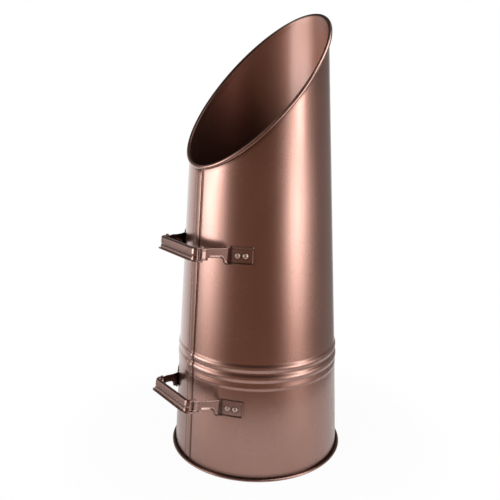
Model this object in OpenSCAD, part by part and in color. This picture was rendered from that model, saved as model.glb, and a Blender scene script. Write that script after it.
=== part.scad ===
// Tall coal scuttle: a tapered sheet-metal hod with an oblique wired mouth,
// two pressed handles one above the other on the seam side, and a seamed-on base.
// Millimetres. +Z is up, the origin is on the body's axis at the floor.
// The seam and the handles are on -X, and the coal slides out over the long lip at +X.

/* [Body] */
// Height of the sheet at the long pouring lip
lip_h = 506; // [460:1:560]
// Height of the sheet at the short lip, above the handles
back_h = 345; // [320:1:380]
// Outside diameter of the body at the floor
base_d = 200; // [180:1:230]
// Outside diameter of the body at the lower swaged bead
bead_d = 188; // [172:1:205]
// Outside diameter that the taper reaches at the height of the long lip
neck_d = 142; // [120:1:165]
// Thickness of the body sheet
sheet_t = 0.8; // [0.5:0.1:1.5]

/* [Swaged beads] */
// Height of the lower bead's crest above the floor
bead_z = 119.7; // [112:0.1:140]
// Spacing of the beads, crest to crest
bead_pitch = 11.3; // [9:0.1:14]
// Number of beads
bead_count = 2; // [1:1:3]
// Width of one bead
bead_w = 9; // [6:0.1:9]
// How far a bead stands out of the wall
bead_out = 1.3; // [0.6:0.1:2]
// Distance of the soft step from the lower bead's crest down to the base band
step_drop = 12.5; // [8:0.1:16]
// How much the base band is drawn in below the soft step
step_in = 0.5; // [0.2:0.1:1]

/* [Lock seam] */
// Width of the grooved lock seam on the back
seam_w = 9; // [6:0.5:14]
// How far the folded seam stands out of the wall
seam_out = 0.9; // [0.5:0.1:1.5]

/* [Wired mouth] */
// Diameter of the wire inside the rolled mouth
wire_d = 2.8; // [2:0.1:5]
// Clearance between the wire and the sheet rolled over it
wire_gap = 0.05; // [0.02:0.01:0.2]
// How far the roll swells past the inside of the wall
roll_swell = 0.3; // [0.1:0.05:0.8]

/* [Base] */
// Thickness of the base pan's sheet
base_t = 0.9; // [0.6:0.1:1.5]
// How far the base seam stands out of the body at the floor
hem_out = 4; // [3:0.1:6]
// Clearance between the layers of the base seam
seam_gap = 0.05; // [0.02:0.01:0.2]
// Radius of the stiffening ring pressed up into the base pan
rib_r = 66; // [45:1:80]
// Width of the stiffening ring
rib_w = 14; // [8:0.5:20]
// Height of the stiffening ring
rib_h = 3; // [1.5:0.1:5]

/* [Handle places] */
// Height of the upper handle on the wall
upper_z = 255; // [235:1:275]
// Height of the lower handle on the wall
lower_z = 83; // [78:1:90]
// Distance between the two folds of a handle's lugs
fold_span = 89.4; // [76:0.2:104]
// Distance between the corners of the grip
grip_span = 71; // [60:0.2:78]
// How far the grip stands out from the folds
reach = 37; // [30:0.5:46]
// How much the upper handle rises outward, in degrees
upper_rise = 5.4; // [0:0.1:10]
// How much the lower handle rises outward, in degrees
lower_rise = 10.5; // [0:0.1:12]

/* [Lugs] */
// Thickness of the lug's pressed steel
lug_t = 1.2; // [0.8:0.1:2]
// Height of the riveted plate and of the arm at its fold
lug_h = 20; // [17:0.5:24]
// Length of the riveted plate along the wall
plate_l = 29; // [24:0.5:36]
// Width of the raised border round the riveted plate
border_w = 2.2; // [1:0.1:3]
// Depth of the panel inside that border
panel_d = 0.4; // [0.2:0.05:0.6]
// How far the arm's lower edge is drawn up between the fold and the foot
waist_low = 7.2; // [3:0.1:8]
// Length of the S-curve from the fold up to the waist
waist_run = 9; // [7.5:0.1:10]
// Width of the foot at the arm's end
foot_w = 2.6; // [1.5:0.1:4]
// How deep the arm's upper edge is drawn down
waist_top = 1.2; // [0.5:0.1:2]
// How far the arm's lower edge is flared outward, on a slope of 45 degrees
arm_lip = 2.6; // [1.5:0.1:3.4]
// Clearance under the riveted plate
plate_gap = 0.05; // [0.02:0.01:0.2]

/* [Grips] */
// Thickness of the grip's pressed steel
grip_t = 1.2; // [0.8:0.1:2]
// Height of the grip
grip_h = 14.5; // [13:0.5:17]
// Depth of the grip's top edge, turned in towards the body
grip_turn = 3; // [2.4:0.1:3.6]
// Outer radius of that turned edge
grip_round = 2; // [1.4:0.1:2.2]
// How far the grip's lower edge is flared outward
grip_lip = 2.4; // [1:0.1:4]
// Inner radius of the grip's corners
corner_r = 4; // [3:0.1:5]
// Depth of the crease pressed along the grip
crease_d = 0.6; // [0.3:0.05:0.8]

/* [Pins and rivets] */
// Diameter of the pin that joins a grip to a lug
pin_d = 2.2; // [1.8:0.1:2.8]
// Distance of the pin from the grip's corner
pin_back = 8.6; // [7.5:0.1:11]
// Clearance of the pin in its holes and eyes
pin_gap = 0.05; // [0.02:0.01:0.1]
// Wall of the eye that is curled round the pin
eye_t = 1; // [0.8:0.1:1.2]
// Height of one eye
eye_h = 2.4; // [2:0.1:3]
// Diameter of a rivet's head
rivet_head_d = 6.4; // [5:0.1:7]
// Diameter of a rivet's shank
rivet_d = 3.4; // [2.5:0.1:4]
// Spacing of a lug's two rivets
rivet_pitch = 8.8; // [8:0.1:13]
// Height of a rivet's domed head
rivet_dome = 2; // [1:0.1:2.5]
// Height of the flattened rivet end inside the body
rivet_tail = 0.9; // [0.5:0.1:1.5]

/* [Hidden] */
$fn = 96;
copper = "#8a5646";
copper_dark = "#6b3f33";
LEFT = 1;
RIGHT = -1;

// How far a cutting shape reaches past what it cuts
past = 1;
// Half height of the soft step in the wall
step_half = 2;
// How much of its inner end the arm shares with the fold
fold_share = 0.25;
// How far a tab reaches into the sheet it grows from, and how much thinner than that sheet it is on each side
lap = 0.3;
inset_t = 0.1;
// Corner radius of the riveted plates and of the inner corner at the arm's foot
plate_corner = 2.5;
foot_r = 2;
// The rim's tube: stations along it, and sides of the roll and of the wire
rim_steps = 84;
roll_sides = 12;
wire_sides = 8;
// Stations along each arc of an arm's S-curve
waist_steps = 10;

// Body taper: the base band, then the long cone from the lower bead up
cone_slope = (bead_d - neck_d) / 2 / (lip_h - bead_z);
band_slope = (base_d - bead_d) / 2 / bead_z;
step_z = bead_z - step_drop;
cone_r0 = bead_d / 2 + cone_slope * bead_z;
function wall_r(z) = z >= bead_z ? cone_r0 - cone_slope * z : base_d / 2 - band_slope * z;
function wall_lean(z) = atan(z >= bead_z ? cone_slope : band_slope);
bead_arc_r = (bead_w * bead_w / 4 + bead_out * bead_out) / (2 * bead_out);

// Mouth plane through the outside of both lips: z = mouth_z + mouth_slope * x
mouth_slope = (lip_h - back_h) / (wall_r(lip_h) + wall_r(back_h));
mouth_z = lip_h - mouth_slope * wall_r(lip_h);
mouth_angle = atan(mouth_slope);
above = lip_h + base_d / 2;

// Rolled rim: a tube round the wire, centred on the mouth plane
roll_r = wire_d / 2 + wire_gap + sheet_t;
roll_offset = roll_r - sheet_t - roll_swell;
mouth_up = [-sin(mouth_angle), 0, cos(mouth_angle)];

// Base seam: the pan's edge folded round the body's flange
hem_r = base_d / 2 + hem_out;
hem_h = 2 * base_t + sheet_t + 2 * seam_gap;
flange_z = base_t + seam_gap;
flange_r = hem_r - base_t - seam_gap;

// Handle plan, measured from the line of the folds
toe_in = (fold_span - grip_span) / 2;
toe = atan(toe_in / reach);
arm_run = sqrt(reach * reach + toe_in * toe_in);
pin_hole_r = pin_d / 2 + pin_gap;
eye_r = pin_hole_r + eye_t;
pin_x = arm_run - pin_back;
pin_y = lug_t / 2 - eye_r;
ear_r = grip_t / 2 - pin_y - inset_t;
notch_x = pin_x - 2 * eye_r;
arm_end_h = grip_h - 2 * grip_t - 2 * pin_gap;

// The arm's waist: an S-curve of two equal arcs, a flat run and a rounded corner at the foot
waist_z = waist_low - lug_h / 2;
waist_r = (waist_run * waist_run + waist_low * waist_low) / (4 * waist_low);
waist_x0 = lug_t;
waist_x1 = waist_x0 + waist_run;
waist_a = waist_low > waist_run ? 180 - asin(waist_run / 2 / waist_r) : asin(waist_run / 2 / waist_r);
fold_c = [waist_x0, waist_r - lug_h / 2];
waist_c = [waist_x1, waist_z - waist_r];
foot_x = notch_x - foot_w;
foot_c = [foot_x - foot_r, waist_z - foot_r];

// Grip corners
turn = 90 - toe;
bend_r = corner_r + grip_t / 2;
bend_l = bend_r * tan(turn / 2);

// Riveted plates
hole_r = rivet_d / 2 + pin_gap;
function plate_r(z) = wall_r(z) + plate_gap;
function fold_r(z) = plate_r(z) + lug_t / 2;
function fold_a(z) = asin(fold_span / 2 / fold_r(z));
function plate_a(z) = 2 * asin(plate_l / 2 / fold_r(z));
function rivet_a(z, i) = fold_a(z) + plate_a(z) / 2 + (2 * i - 1) * asin(rivet_pitch / 2 / plate_r(z));

// A flat circular arc's radius from its chord and its rise
function arc_r(chord, h) = (chord * chord / 4 + h * h) / (2 * h);

// ---------- frames ----------

// The wall at height z on the seam side: x outward, y to the side, z up
module on_wall(z, side = LEFT) {
    translate([0, 0, z])
        mirror([1, 0, 0])
            mirror([0, side == RIGHT ? 1 : 0, 0])
                children();
}

// A point on the wall, turned round the body by angle a and tilted with the wall
module at_angle(z, a, r) {
    rotate([0, 0, a])
        translate([r, 0, 0])
            rotate([0, -wall_lean(z), 0])
                children();
}

// The handle's own plane: it starts on the line of the folds and rises outward
module handle_frame(z, rise) {
    translate([fold_r(z) * cos(fold_a(z)), 0, 0])
        rotate([0, -rise, 0])
            children();
}

// One arm: x runs from the fold to the grip's corner, y points away from the hand
module arm_frame(z, rise) {
    handle_frame(z, rise)
        translate([0, fold_span / 2, 0])
            rotate([0, 0, -toe])
                children();
}

// ---------- body ----------

// Everything inside the outer face of the wall, as radius and height
module wall_outline() {
    polygon([
        [0, 0],
        [wall_r(0), 0],
        [wall_r(step_z - step_half), step_z - step_half],
        [wall_r(step_z + step_half) + step_in, step_z + step_half],
        [wall_r(bead_z), bead_z],
        [wall_r(above), above],
        [0, above]
    ]);
    for (i = [0 : bead_count - 1]) {
        z = bead_z + i * bead_pitch;
        translate([wall_r(z) + bead_out - bead_arc_r, z])
            circle(r = bead_arc_r);
    }
}

// The sheet itself, moved out by off and t thick, from height low upward
module sheet_profile(off, t, low) {
    difference() {
        translate([off + t, 0]) wall_outline();
        translate([off, 0]) wall_outline();
        translate([-past, -past]) square([base_d, low + past]);
    }
}

// The space above the mouth plane
module above_mouth() {
    translate([0, 0, mouth_z])
        rotate([0, -mouth_angle, 0])
            translate([-above, -base_d, 0])
                cube([2 * above, 2 * base_d, above]);
}

// The folded seam down the back
module lock_seam() {
    intersection() {
        rotate_extrude() sheet_profile(-sheet_t / 2, sheet_t / 2 + seam_out, hem_h + seam_gap);
        translate([-base_d, -seam_w / 2, 0])
            cube([base_d, seam_w, above]);
    }
}

// A point on the rim's centre line at angle a round the axis
function rim_point(a) =
    let (
        r0 = cone_r0 + roll_offset,
        z = (mouth_z + mouth_slope * cos(a) * r0) / (1 + mouth_slope * cone_slope * cos(a)),
        r = r0 - cone_slope * z
    ) [r * cos(a), r * sin(a), z];

// The direction across the rim, in the mouth plane and away from its middle
function rim_across(a) =
    let (
        b = cross(rim_point(a + 1) - rim_point(a - 1), mouth_up)
    ) b / norm(b);

// A closed tube of radius r along the rim
module rim_tube(r, sides) {
    points = [
        for (i = [0 : rim_steps - 1], j = [0 : sides - 1])
            let (a = 360 * i / rim_steps, b = 360 * (j + 0.5) / sides)
                rim_point(a) + r * (cos(b) * rim_across(a) + sin(b) * mouth_up)
    ];
    faces = [
        for (i = [0 : rim_steps - 1], j = [0 : sides - 1])
            let (i1 = (i + 1) % rim_steps, j1 = (j + 1) % sides)
                [i * sides + j, i * sides + j1, i1 * sides + j1, i1 * sides + j]
    ];
    polyhedron(points, faces, convexity = 6);
}

module body_shell() {
    color(copper)
    difference() {
        union() {
            difference() {
                union() {
                    rotate_extrude() sheet_profile(-sheet_t, sheet_t, flange_z);
                    lock_seam();
                }
                above_mouth();
            }
            translate([0, 0, flange_z])
                difference() {
                    cylinder(r = flange_r, h = sheet_t);
                    translate([0, 0, -past]) cylinder(r = wall_r(flange_z) - sheet_t, h = sheet_t + 2 * past);
                }
            rim_tube(roll_r, roll_sides);
        }
        rim_tube(roll_r - sheet_t, wire_sides);
        for (z = [upper_z, lower_z], side = [LEFT, RIGHT]) on_wall(z, side) rivet_holes(z);
    }
}

module rim_wire() {
    color(copper_dark) rim_tube(wire_d / 2, wire_sides);
}

// The pan's sheet in section, with the stiffening ring pressed up on slopes of 45 degrees
module pan_outline() {
    shift = base_t * tan(45 / 2);
    low = [
        [0, 0],
        [rib_r - rib_w / 2, 0],
        [rib_r - rib_w / 2 + rib_h, rib_h],
        [rib_r + rib_w / 2 - rib_h, rib_h],
        [rib_r + rib_w / 2, 0],
        [hem_r - hem_h / 2, 0]
    ];
    move = [0, -shift, -shift, shift, shift, 0];
    high = [for (i = [0 : len(low) - 1]) low[i] + [move[i], base_t]];
    polygon(concat(low, [for (i = [len(low) - 1 : -1 : 0]) high[i]]));
}

module base_pan() {
    slot_h = sheet_t + 2 * seam_gap;
    slot_end = hem_r - base_t - slot_h / 2;
    roll = hem_h / 2;
    color(copper)
    rotate_extrude()
        difference() {
            union() {
                pan_outline();
                translate([base_d / 2 + seam_gap, 0]) square([hem_out - roll - seam_gap, hem_h]);
                translate([hem_r - roll, roll]) circle(r = roll);
            }
            translate([base_d / 2, base_t]) square([slot_end - base_d / 2, slot_h]);
            translate([slot_end, base_t + slot_h / 2]) circle(d = slot_h);
        }
}

// ---------- lugs ----------

// The riveted plate's outline, inset all round but at the fold; x runs away from the fold
module plate_outline(inset) {
    c = plate_corner - inset / 2;
    w = plate_l / 2 - inset;
    h = lug_h / 2 - inset;
    translate([-plate_l / 2 + inset, -h]) square([w + plate_l / 2 - inset - c, 2 * h]);
    translate([w - c, -h + c]) square([c, 2 * (h - c)]);
    for (y = [-1, 1]) translate([w - c, y * (h - c)]) circle(r = c);
}

// A bent plate that follows the wall between two distances from it
module wall_plate(z, low, high, inset) {
    intersection() {
        rotate_extrude()
            polygon([
                for (p = [[low, -lug_h], [high, -lug_h], [high, lug_h], [low, lug_h]])
                    [plate_r(z + p[1]) + p[0], p[1]]
            ]);
        rotate([0, 0, fold_a(z) + plate_a(z) / 2])
            translate([plate_r(z) / 2, 0, 0])
                rotate([90, 0, 90])
                    linear_extrude(plate_r(z)) plate_outline(inset);
    }
}

module rivet_holes(z) {
    depth = lug_t + sheet_t + 2 * past;
    for (i = [0, 1])
        at_angle(z, rivet_a(z, i), plate_r(z))
            translate([-depth, 0, 0])
                rotate([0, 90, 0])
                    cylinder(r = hole_r, h = 2 * depth);
}

// The space under the arm from its fold to its foot, up to the bend of the flare
module under_bend() {
    low = -lug_h;
    start = waist_x0 - lap / 2;
    difference() {
        union() {
            polygon([[start, low], [waist_x1, low], waist_c, [start, fold_c[1]]]);
            translate(waist_c) circle(r = waist_r + arm_lip);
            translate([waist_x1, low]) square([foot_c[0] - waist_x1, waist_z + arm_lip - low]);
        }
        translate(fold_c) circle(r = waist_r - arm_lip);
    }
}

// The arm's outline down to the bend of its flare: tall at the fold, with a small foot at its end
module arm_outline() {
    start = lug_t * fold_share;
    top_r = arc_r(notch_x - waist_x0, waist_top);
    difference() {
        polygon([
            [start, -lug_h / 2],
            [foot_c[0], -lug_h / 2],
            [foot_x, -arm_end_h / 2],
            [notch_x, -arm_end_h / 2],
            [notch_x, arm_end_h / 2],
            [start, lug_h / 2]
        ]);
        under_bend();
        translate([foot_c[0] - past, -lug_h]) square([foot_r + past, foot_c[1] + lug_h]);
        translate(foot_c) circle(r = foot_r);
        translate([(notch_x + waist_x0) / 2, (lug_h + arm_end_h) / 4 - waist_top + top_r])
            circle(r = top_r);
    }
}

// The flare in section: distance up into the sheet from its free edge, and distance outward
flare_section = let (h = lug_t / 2 - inset_t, bend = arm_lip - inset_t) [
    [bend + 2 * h * tan(45 / 2), h],
    [arm_lip + 2 * h, h],
    [arm_lip + 2 * h, -h],
    [bend, -h],
    [0, bend - h],
    [h * sqrt(2), bend - h + h * sqrt(2)]
];

// The way up into the sheet where the free edge runs at angle b
function into_sheet(b) = [-sin(b), cos(b)];

// Stations of the flare, each a point and its angle: both arcs of the S-curve, then the flat run
waist_turns = [for (i = [0 : waist_steps]) waist_a * i / waist_steps];
waist_path = concat(
    [[[waist_x0 - lap, -lug_h / 2], 0]],
    [for (b = waist_turns) [fold_c - waist_r * into_sheet(b), b]],
    [for (i = [waist_steps - 1 : -1 : 0]) let (b = waist_turns[i]) [waist_c + waist_r * into_sheet(b), b]],
    [[[foot_c[0] + lap, waist_z], 0]]
);

// The arm's flared lower edge; x runs along the arm, y up and z outward
module flare() {
    n = len(flare_section);
    points = [
        for (s = waist_path, p = flare_section)
            let (q = s[0] + p[0] * into_sheet(s[1])) [q[0], q[1], p[1]]
    ];
    sides = [
        for (i = [0 : len(waist_path) - 2], j = [0 : n - 1])
            let (j1 = (j + 1) % n) [i * n + j, i * n + j1, (i + 1) * n + j1, (i + 1) * n + j]
    ];
    ends = [
        [for (j = [n : -1 : 1]) j % n],
        [for (j = [0 : n - 1]) (len(waist_path) - 1) * n + j]
    ];
    polyhedron(points, concat(sides, ends), convexity = 4);
}

// Stands what is drawn along the arm upright: x stays, y turns up and z turns outward
module upright() {
    mirror([0, 1, 0])
        rotate([90, 0, 0])
            children();
}

// The two strips at the arm's end, curled into eyes round the pin
module eyes() {
    for (side = [-1, 1])
        translate([0, 0, side * (arm_end_h - eye_h) / 2 - eye_h / 2]) {
            translate([notch_x - lug_t, -lug_t / 2, 0])
                cube([pin_x - notch_x + lug_t, lug_t, eye_h]);
            translate([pin_x, pin_y, 0])
                cylinder(r = eye_r, h = eye_h);
        }
}

module lug(z, rise) {
    color(copper)
    difference() {
        union() {
            difference() {
                wall_plate(z, 0, lug_t, 0);
                wall_plate(z, lug_t - panel_d, lug_t + past, border_w);
            }
            at_angle(z, fold_a(z), fold_r(z))
                cylinder(d = lug_t, h = lug_h, center = true);
            arm_frame(z, rise) {
                upright() {
                    translate([0, 0, -lug_t / 2]) linear_extrude(lug_t) arm_outline();
                    flare();
                }
                eyes();
            }
        }
        rivet_holes(z);
        arm_frame(z, rise)
            translate([pin_x, pin_y, 0])
                cylinder(r = pin_hole_r, h = lug_h, center = true);
    }
}

// ---------- grips ----------

// The pressed section: x away from the hand, y up
module grip_section() {
    h = grip_h / 2;
    t = grip_t;
    crease_y = -h / 4;
    crease_h = 2 * crease_d;
    bend_y = h - grip_round;
    bend_x = t / 2 - grip_round;
    polygon([
        [t / 2, bend_y], [t / 2, crease_y + crease_h],
        [t / 2 - crease_d, crease_y], [t / 2, crease_y - crease_h],
        [t / 2, -h], [-t / 2, -h],
        [-t / 2, crease_y - crease_h], [-t / 2 - crease_d, crease_y],
        [-t / 2, crease_y + crease_h], [-t / 2, bend_y]
    ]);
    translate([t / 2 - grip_turn, h - t]) square([grip_turn - grip_round, t]);
    intersection() {
        translate([bend_x, bend_y])
            difference() {
                circle(r = grip_round);
                circle(r = grip_round - t);
            }
        translate([bend_x, bend_y]) square(grip_round);
    }
    translate([0, -h]) square([grip_lip, t]);
    translate([grip_lip, -h + t / 2]) circle(d = t);
}

// A flat ear that holds one end of the pin: x away from the hand, y towards the body
module ear() {
    translate([0, 0, inset_t])
        difference() {
            union() {
                translate([pin_y - ear_r, -lap, 0])
                    cube([2 * ear_r, pin_back - bend_l + lap, grip_t - 2 * inset_t]);
                translate([pin_y, pin_back - bend_l, 0])
                    cylinder(r = ear_r, h = grip_t - 2 * inset_t);
            }
            translate([pin_y, pin_back - bend_l, -grip_t])
                cylinder(r = pin_hole_r, h = 3 * grip_t);
        }
}

// Half of a grip: from its middle round one corner to the ears on the pin
module half_grip(z, rise) {
    half_l = grip_span / 2 - bend_l;
    handle_frame(z, rise) {
        translate([reach, half_l, 0])
            rotate([90, 0, 0])
                linear_extrude(half_l) grip_section();
        translate([reach - bend_r, half_l, 0]) {
            rotate_extrude(angle = turn)
                translate([bend_r, 0]) grip_section();
            for (low = [-grip_h / 2, grip_h / 2 - grip_t])
                rotate([0, 0, turn])
                    translate([bend_r, 0, low])
                        ear();
        }
    }
}

module grip(z, rise) {
    color(copper)
        for (m = [0, 1]) mirror([0, m, 0]) half_grip(z, rise);
}

// ---------- fasteners ----------

// A domed head of diameter d and height h, flat side down
module dome(d, h) {
    r = arc_r(d, h);
    rotate_extrude()
        intersection() {
            translate([0, h - r]) circle(r = r);
            square([d / 2, h]);
        }
}

module pin(z, rise) {
    half = grip_h / 2 + pin_gap;
    color(copper_dark)
    arm_frame(z, rise)
        translate([pin_x, pin_y, 0]) {
            cylinder(d = pin_d, h = 2 * half, center = true);
            for (m = [0, 1])
                mirror([0, 0, m])
                    translate([0, 0, half]) dome(2 * ear_r, grip_t);
        }
}

// Both rivets of a lug: a domed head outside and a flattened end inside the wall
module rivets(z) {
    seat = lug_t - panel_d + plate_gap;
    tail_r = rivet_d / 2 + rivet_tail;
    inner_r = wall_r(z) - sheet_t;
    sag = inner_r - sqrt(inner_r * inner_r - tail_r * tail_r) + plate_gap;
    color(copper_dark)
    for (i = [0, 1])
        at_angle(z, rivet_a(z, i), wall_r(z)) {
            translate([seat, 0, 0]) rotate([0, 90, 0]) dome(rivet_head_d, rivet_dome);
            translate([-sheet_t - sag - rivet_tail / 2, 0, 0])
                rotate([0, 90, 0])
                    cylinder(d = rivet_d, h = seat + sheet_t + sag + (rivet_tail + rivet_dome) / 2);
            translate([-sheet_t - sag - rivet_tail, 0, 0])
                rotate([0, 90, 0])
                    cylinder(r = tail_r, h = rivet_tail);
        }
}

body_shell();
rim_wire();
base_pan();
on_wall(upper_z, LEFT) lug(upper_z, upper_rise);  // upper_left_lug
on_wall(upper_z, RIGHT) lug(upper_z, upper_rise);  // upper_right_lug
on_wall(lower_z, LEFT) lug(lower_z, lower_rise);  // lower_left_lug
on_wall(lower_z, RIGHT) lug(lower_z, lower_rise);  // lower_right_lug
on_wall(upper_z) grip(upper_z, upper_rise);  // upper_grip
on_wall(lower_z) grip(lower_z, lower_rise);  // lower_grip
on_wall(upper_z, LEFT) pin(upper_z, upper_rise);  // upper_left_pin
on_wall(upper_z, RIGHT) pin(upper_z, upper_rise);  // upper_right_pin
on_wall(lower_z, LEFT) pin(lower_z, lower_rise);  // lower_left_pin
on_wall(lower_z, RIGHT) pin(lower_z, lower_rise);  // lower_right_pin
on_wall(upper_z, LEFT) rivets(upper_z);  // upper_left_rivets
on_wall(upper_z, RIGHT) rivets(upper_z);  // upper_right_rivets
on_wall(lower_z, LEFT) rivets(lower_z);  // lower_left_rivets
on_wall(lower_z, RIGHT) rivets(lower_z);  // lower_right_rivets
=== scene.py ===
"""Tall coal scuttle: the visible model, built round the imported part.

Shapes are worked out in millimetres in the part's own frame and become metres in one place, make_piece.
+Z is up, the axis of the body is the Z axis, the handles are on -X and the long lip is at +X.
"""

import math

import bmesh
import bpy
import numpy as np
from mathutils import Matrix, Vector


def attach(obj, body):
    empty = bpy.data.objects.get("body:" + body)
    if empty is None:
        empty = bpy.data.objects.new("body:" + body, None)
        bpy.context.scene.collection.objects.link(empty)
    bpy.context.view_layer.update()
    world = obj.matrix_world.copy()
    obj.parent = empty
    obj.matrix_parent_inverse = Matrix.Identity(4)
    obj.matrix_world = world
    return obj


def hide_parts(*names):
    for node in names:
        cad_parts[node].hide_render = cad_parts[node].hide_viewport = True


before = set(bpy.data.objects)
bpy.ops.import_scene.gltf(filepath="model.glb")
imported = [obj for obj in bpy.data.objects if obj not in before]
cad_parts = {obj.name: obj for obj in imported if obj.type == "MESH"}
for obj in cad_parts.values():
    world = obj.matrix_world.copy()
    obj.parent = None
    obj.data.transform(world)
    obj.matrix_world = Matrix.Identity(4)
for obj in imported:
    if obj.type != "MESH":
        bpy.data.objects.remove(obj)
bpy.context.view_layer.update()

MM = 0.001
LEFT, RIGHT = 1, -1

# ---------------------------------------------------------------- sizes of the part, in millimetres

LIP_H, BACK_H = 506.0, 345.0
BASE_R, BEAD_R, NECK_R = 100.0, 94.0, 71.0
SHEET = 0.8
BEAD_Z, BEAD_PITCH, BEAD_COUNT, BEAD_W, BEAD_OUT = 119.7, 11.3, 2, 9.0, 1.3
STEP_Z, STEP_HALF, STEP_IN = 107.2, 2.0, 0.5
SEAM_W, SEAM_OUT = 9.0, 0.9
WIRE_R, WIRE_GAP, ROLL_SWELL = 1.4, 0.05, 0.3
PAN_T, HEM_OUT, HEM_GAP = 0.9, 4.0, 0.05
RIB_R, RIB_W, RIB_H = 66.0, 14.0, 3.0
UPPER_Z, LOWER_Z = 255.0, 83.0
UPPER_RISE, LOWER_RISE = math.radians(5.4), math.radians(10.5)
FOLD_SPAN, GRIP_SPAN, REACH = 89.4, 71.0, 37.0
LUG_T, LUG_H, PLATE_L, BORDER_W, PANEL_D = 1.2, 20.0, 29.0, 2.2, 0.4
WAIST_LOW, WAIST_RUN, WAIST_TOP, FOOT_W, FOOT_R = 7.2, 9.0, 1.2, 2.6, 2.0
ARM_LIP, INSET, LAP, PLATE_GAP, PLATE_CORNER = 2.6, 0.1, 0.3, 0.05, 2.5
GRIP_T, GRIP_H, GRIP_TURN, GRIP_ROUND, GRIP_LIP, CORNER_R, CREASE_D = 1.2, 14.5, 3.0, 2.0, 2.4, 4.0, 0.6
PIN_D, PIN_BACK, PIN_GAP, EYE_T, EYE_H = 2.2, 8.6, 0.05, 1.0, 2.4
RIVET_HEAD_D, RIVET_D, RIVET_PITCH, RIVET_DOME, RIVET_TAIL = 6.4, 3.4, 8.8, 2.0, 0.9

CONE_SLOPE = (BEAD_R - NECK_R) / (LIP_H - BEAD_Z)
BAND_SLOPE = (BASE_R - BEAD_R) / BEAD_Z
CONE_R0 = BEAD_R + CONE_SLOPE * BEAD_Z
HEM_H = 2 * PAN_T + SHEET + 2 * HEM_GAP
HEM_R = BASE_R + HEM_OUT
ROLL_R = WIRE_R + WIRE_GAP + SHEET
ROLL_OFFSET = ROLL_R - SHEET - ROLL_SWELL
MOUTH_SLOPE = (LIP_H - BACK_H) / (2 * CONE_R0 - CONE_SLOPE * (LIP_H + BACK_H))
MOUTH_Z = LIP_H - MOUTH_SLOPE * (CONE_R0 - CONE_SLOPE * LIP_H)

TOE_IN = (FOLD_SPAN - GRIP_SPAN) / 2
TOE = math.atan2(TOE_IN, REACH)
ARM_RUN = math.hypot(REACH, TOE_IN)
PIN_X = ARM_RUN - PIN_BACK
EYE_R = PIN_D / 2 + PIN_GAP + EYE_T
PIN_Y = LUG_T / 2 - EYE_R
EAR_R = GRIP_T / 2 - PIN_Y - INSET
NOTCH_X = PIN_X - 2 * EYE_R
ARM_END_H = GRIP_H - 2 * GRIP_T - 2 * PIN_GAP
WAIST_Z = WAIST_LOW - LUG_H / 2
WAIST_R = (WAIST_RUN ** 2 + WAIST_LOW ** 2) / (4 * WAIST_LOW)
WAIST_X0, WAIST_X1 = LUG_T, LUG_T + WAIST_RUN
FOOT_X = NOTCH_X - FOOT_W
TURN = math.pi / 2 - TOE
BEND_R = CORNER_R + GRIP_T / 2
BEND_L = BEND_R * math.tan(TURN / 2)

# ---------------------------------------------------------------- camera

CAMERA_AZIMUTH = math.radians(-37.28)
CAMERA_DISTANCE, CAMERA_HEIGHT = 0.7471, 0.4266
CAMERA_PITCH, CAMERA_ROLL, CAMERA_YAW = 0.2436, 0.0143, -0.0137
CAMERA_LENS, CAMERA_SENSOR = 47.03, 36
CAMERA_CLIP = (0.01, 50)


def make_camera():
    """The photograph's camera: on a circle round the Z axis, then turned by yaw, pitch and roll."""
    data = bpy.data.cameras.new("camera")
    data.lens, data.sensor_width = CAMERA_LENS, CAMERA_SENSOR
    data.clip_start, data.clip_end = CAMERA_CLIP
    camera = bpy.data.objects.new("camera", data)
    bpy.context.scene.collection.objects.link(camera)
    yaw, pitch, roll = CAMERA_YAW, CAMERA_PITCH, CAMERA_ROLL
    ahead = Vector((
        math.sin(yaw) * math.cos(pitch), math.cos(yaw) * math.cos(pitch), -math.sin(pitch)
    ))
    right = Vector((math.cos(yaw), -math.sin(yaw), 0))
    up = right.cross(ahead)
    right_r = math.cos(roll) * right + math.sin(roll) * up
    up_r = math.cos(roll) * up - math.sin(roll) * right
    turn = Matrix.Rotation(CAMERA_AZIMUTH, 4, "Z")
    axes = Matrix((right_r, up_r, -ahead)).transposed().to_4x4()
    place = Matrix.Translation((0, -CAMERA_DISTANCE, CAMERA_HEIGHT))
    camera.matrix_world = turn @ place @ axes
    bpy.context.scene.camera = camera


make_camera()

# ---------------------------------------------------------------- node helpers


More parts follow.
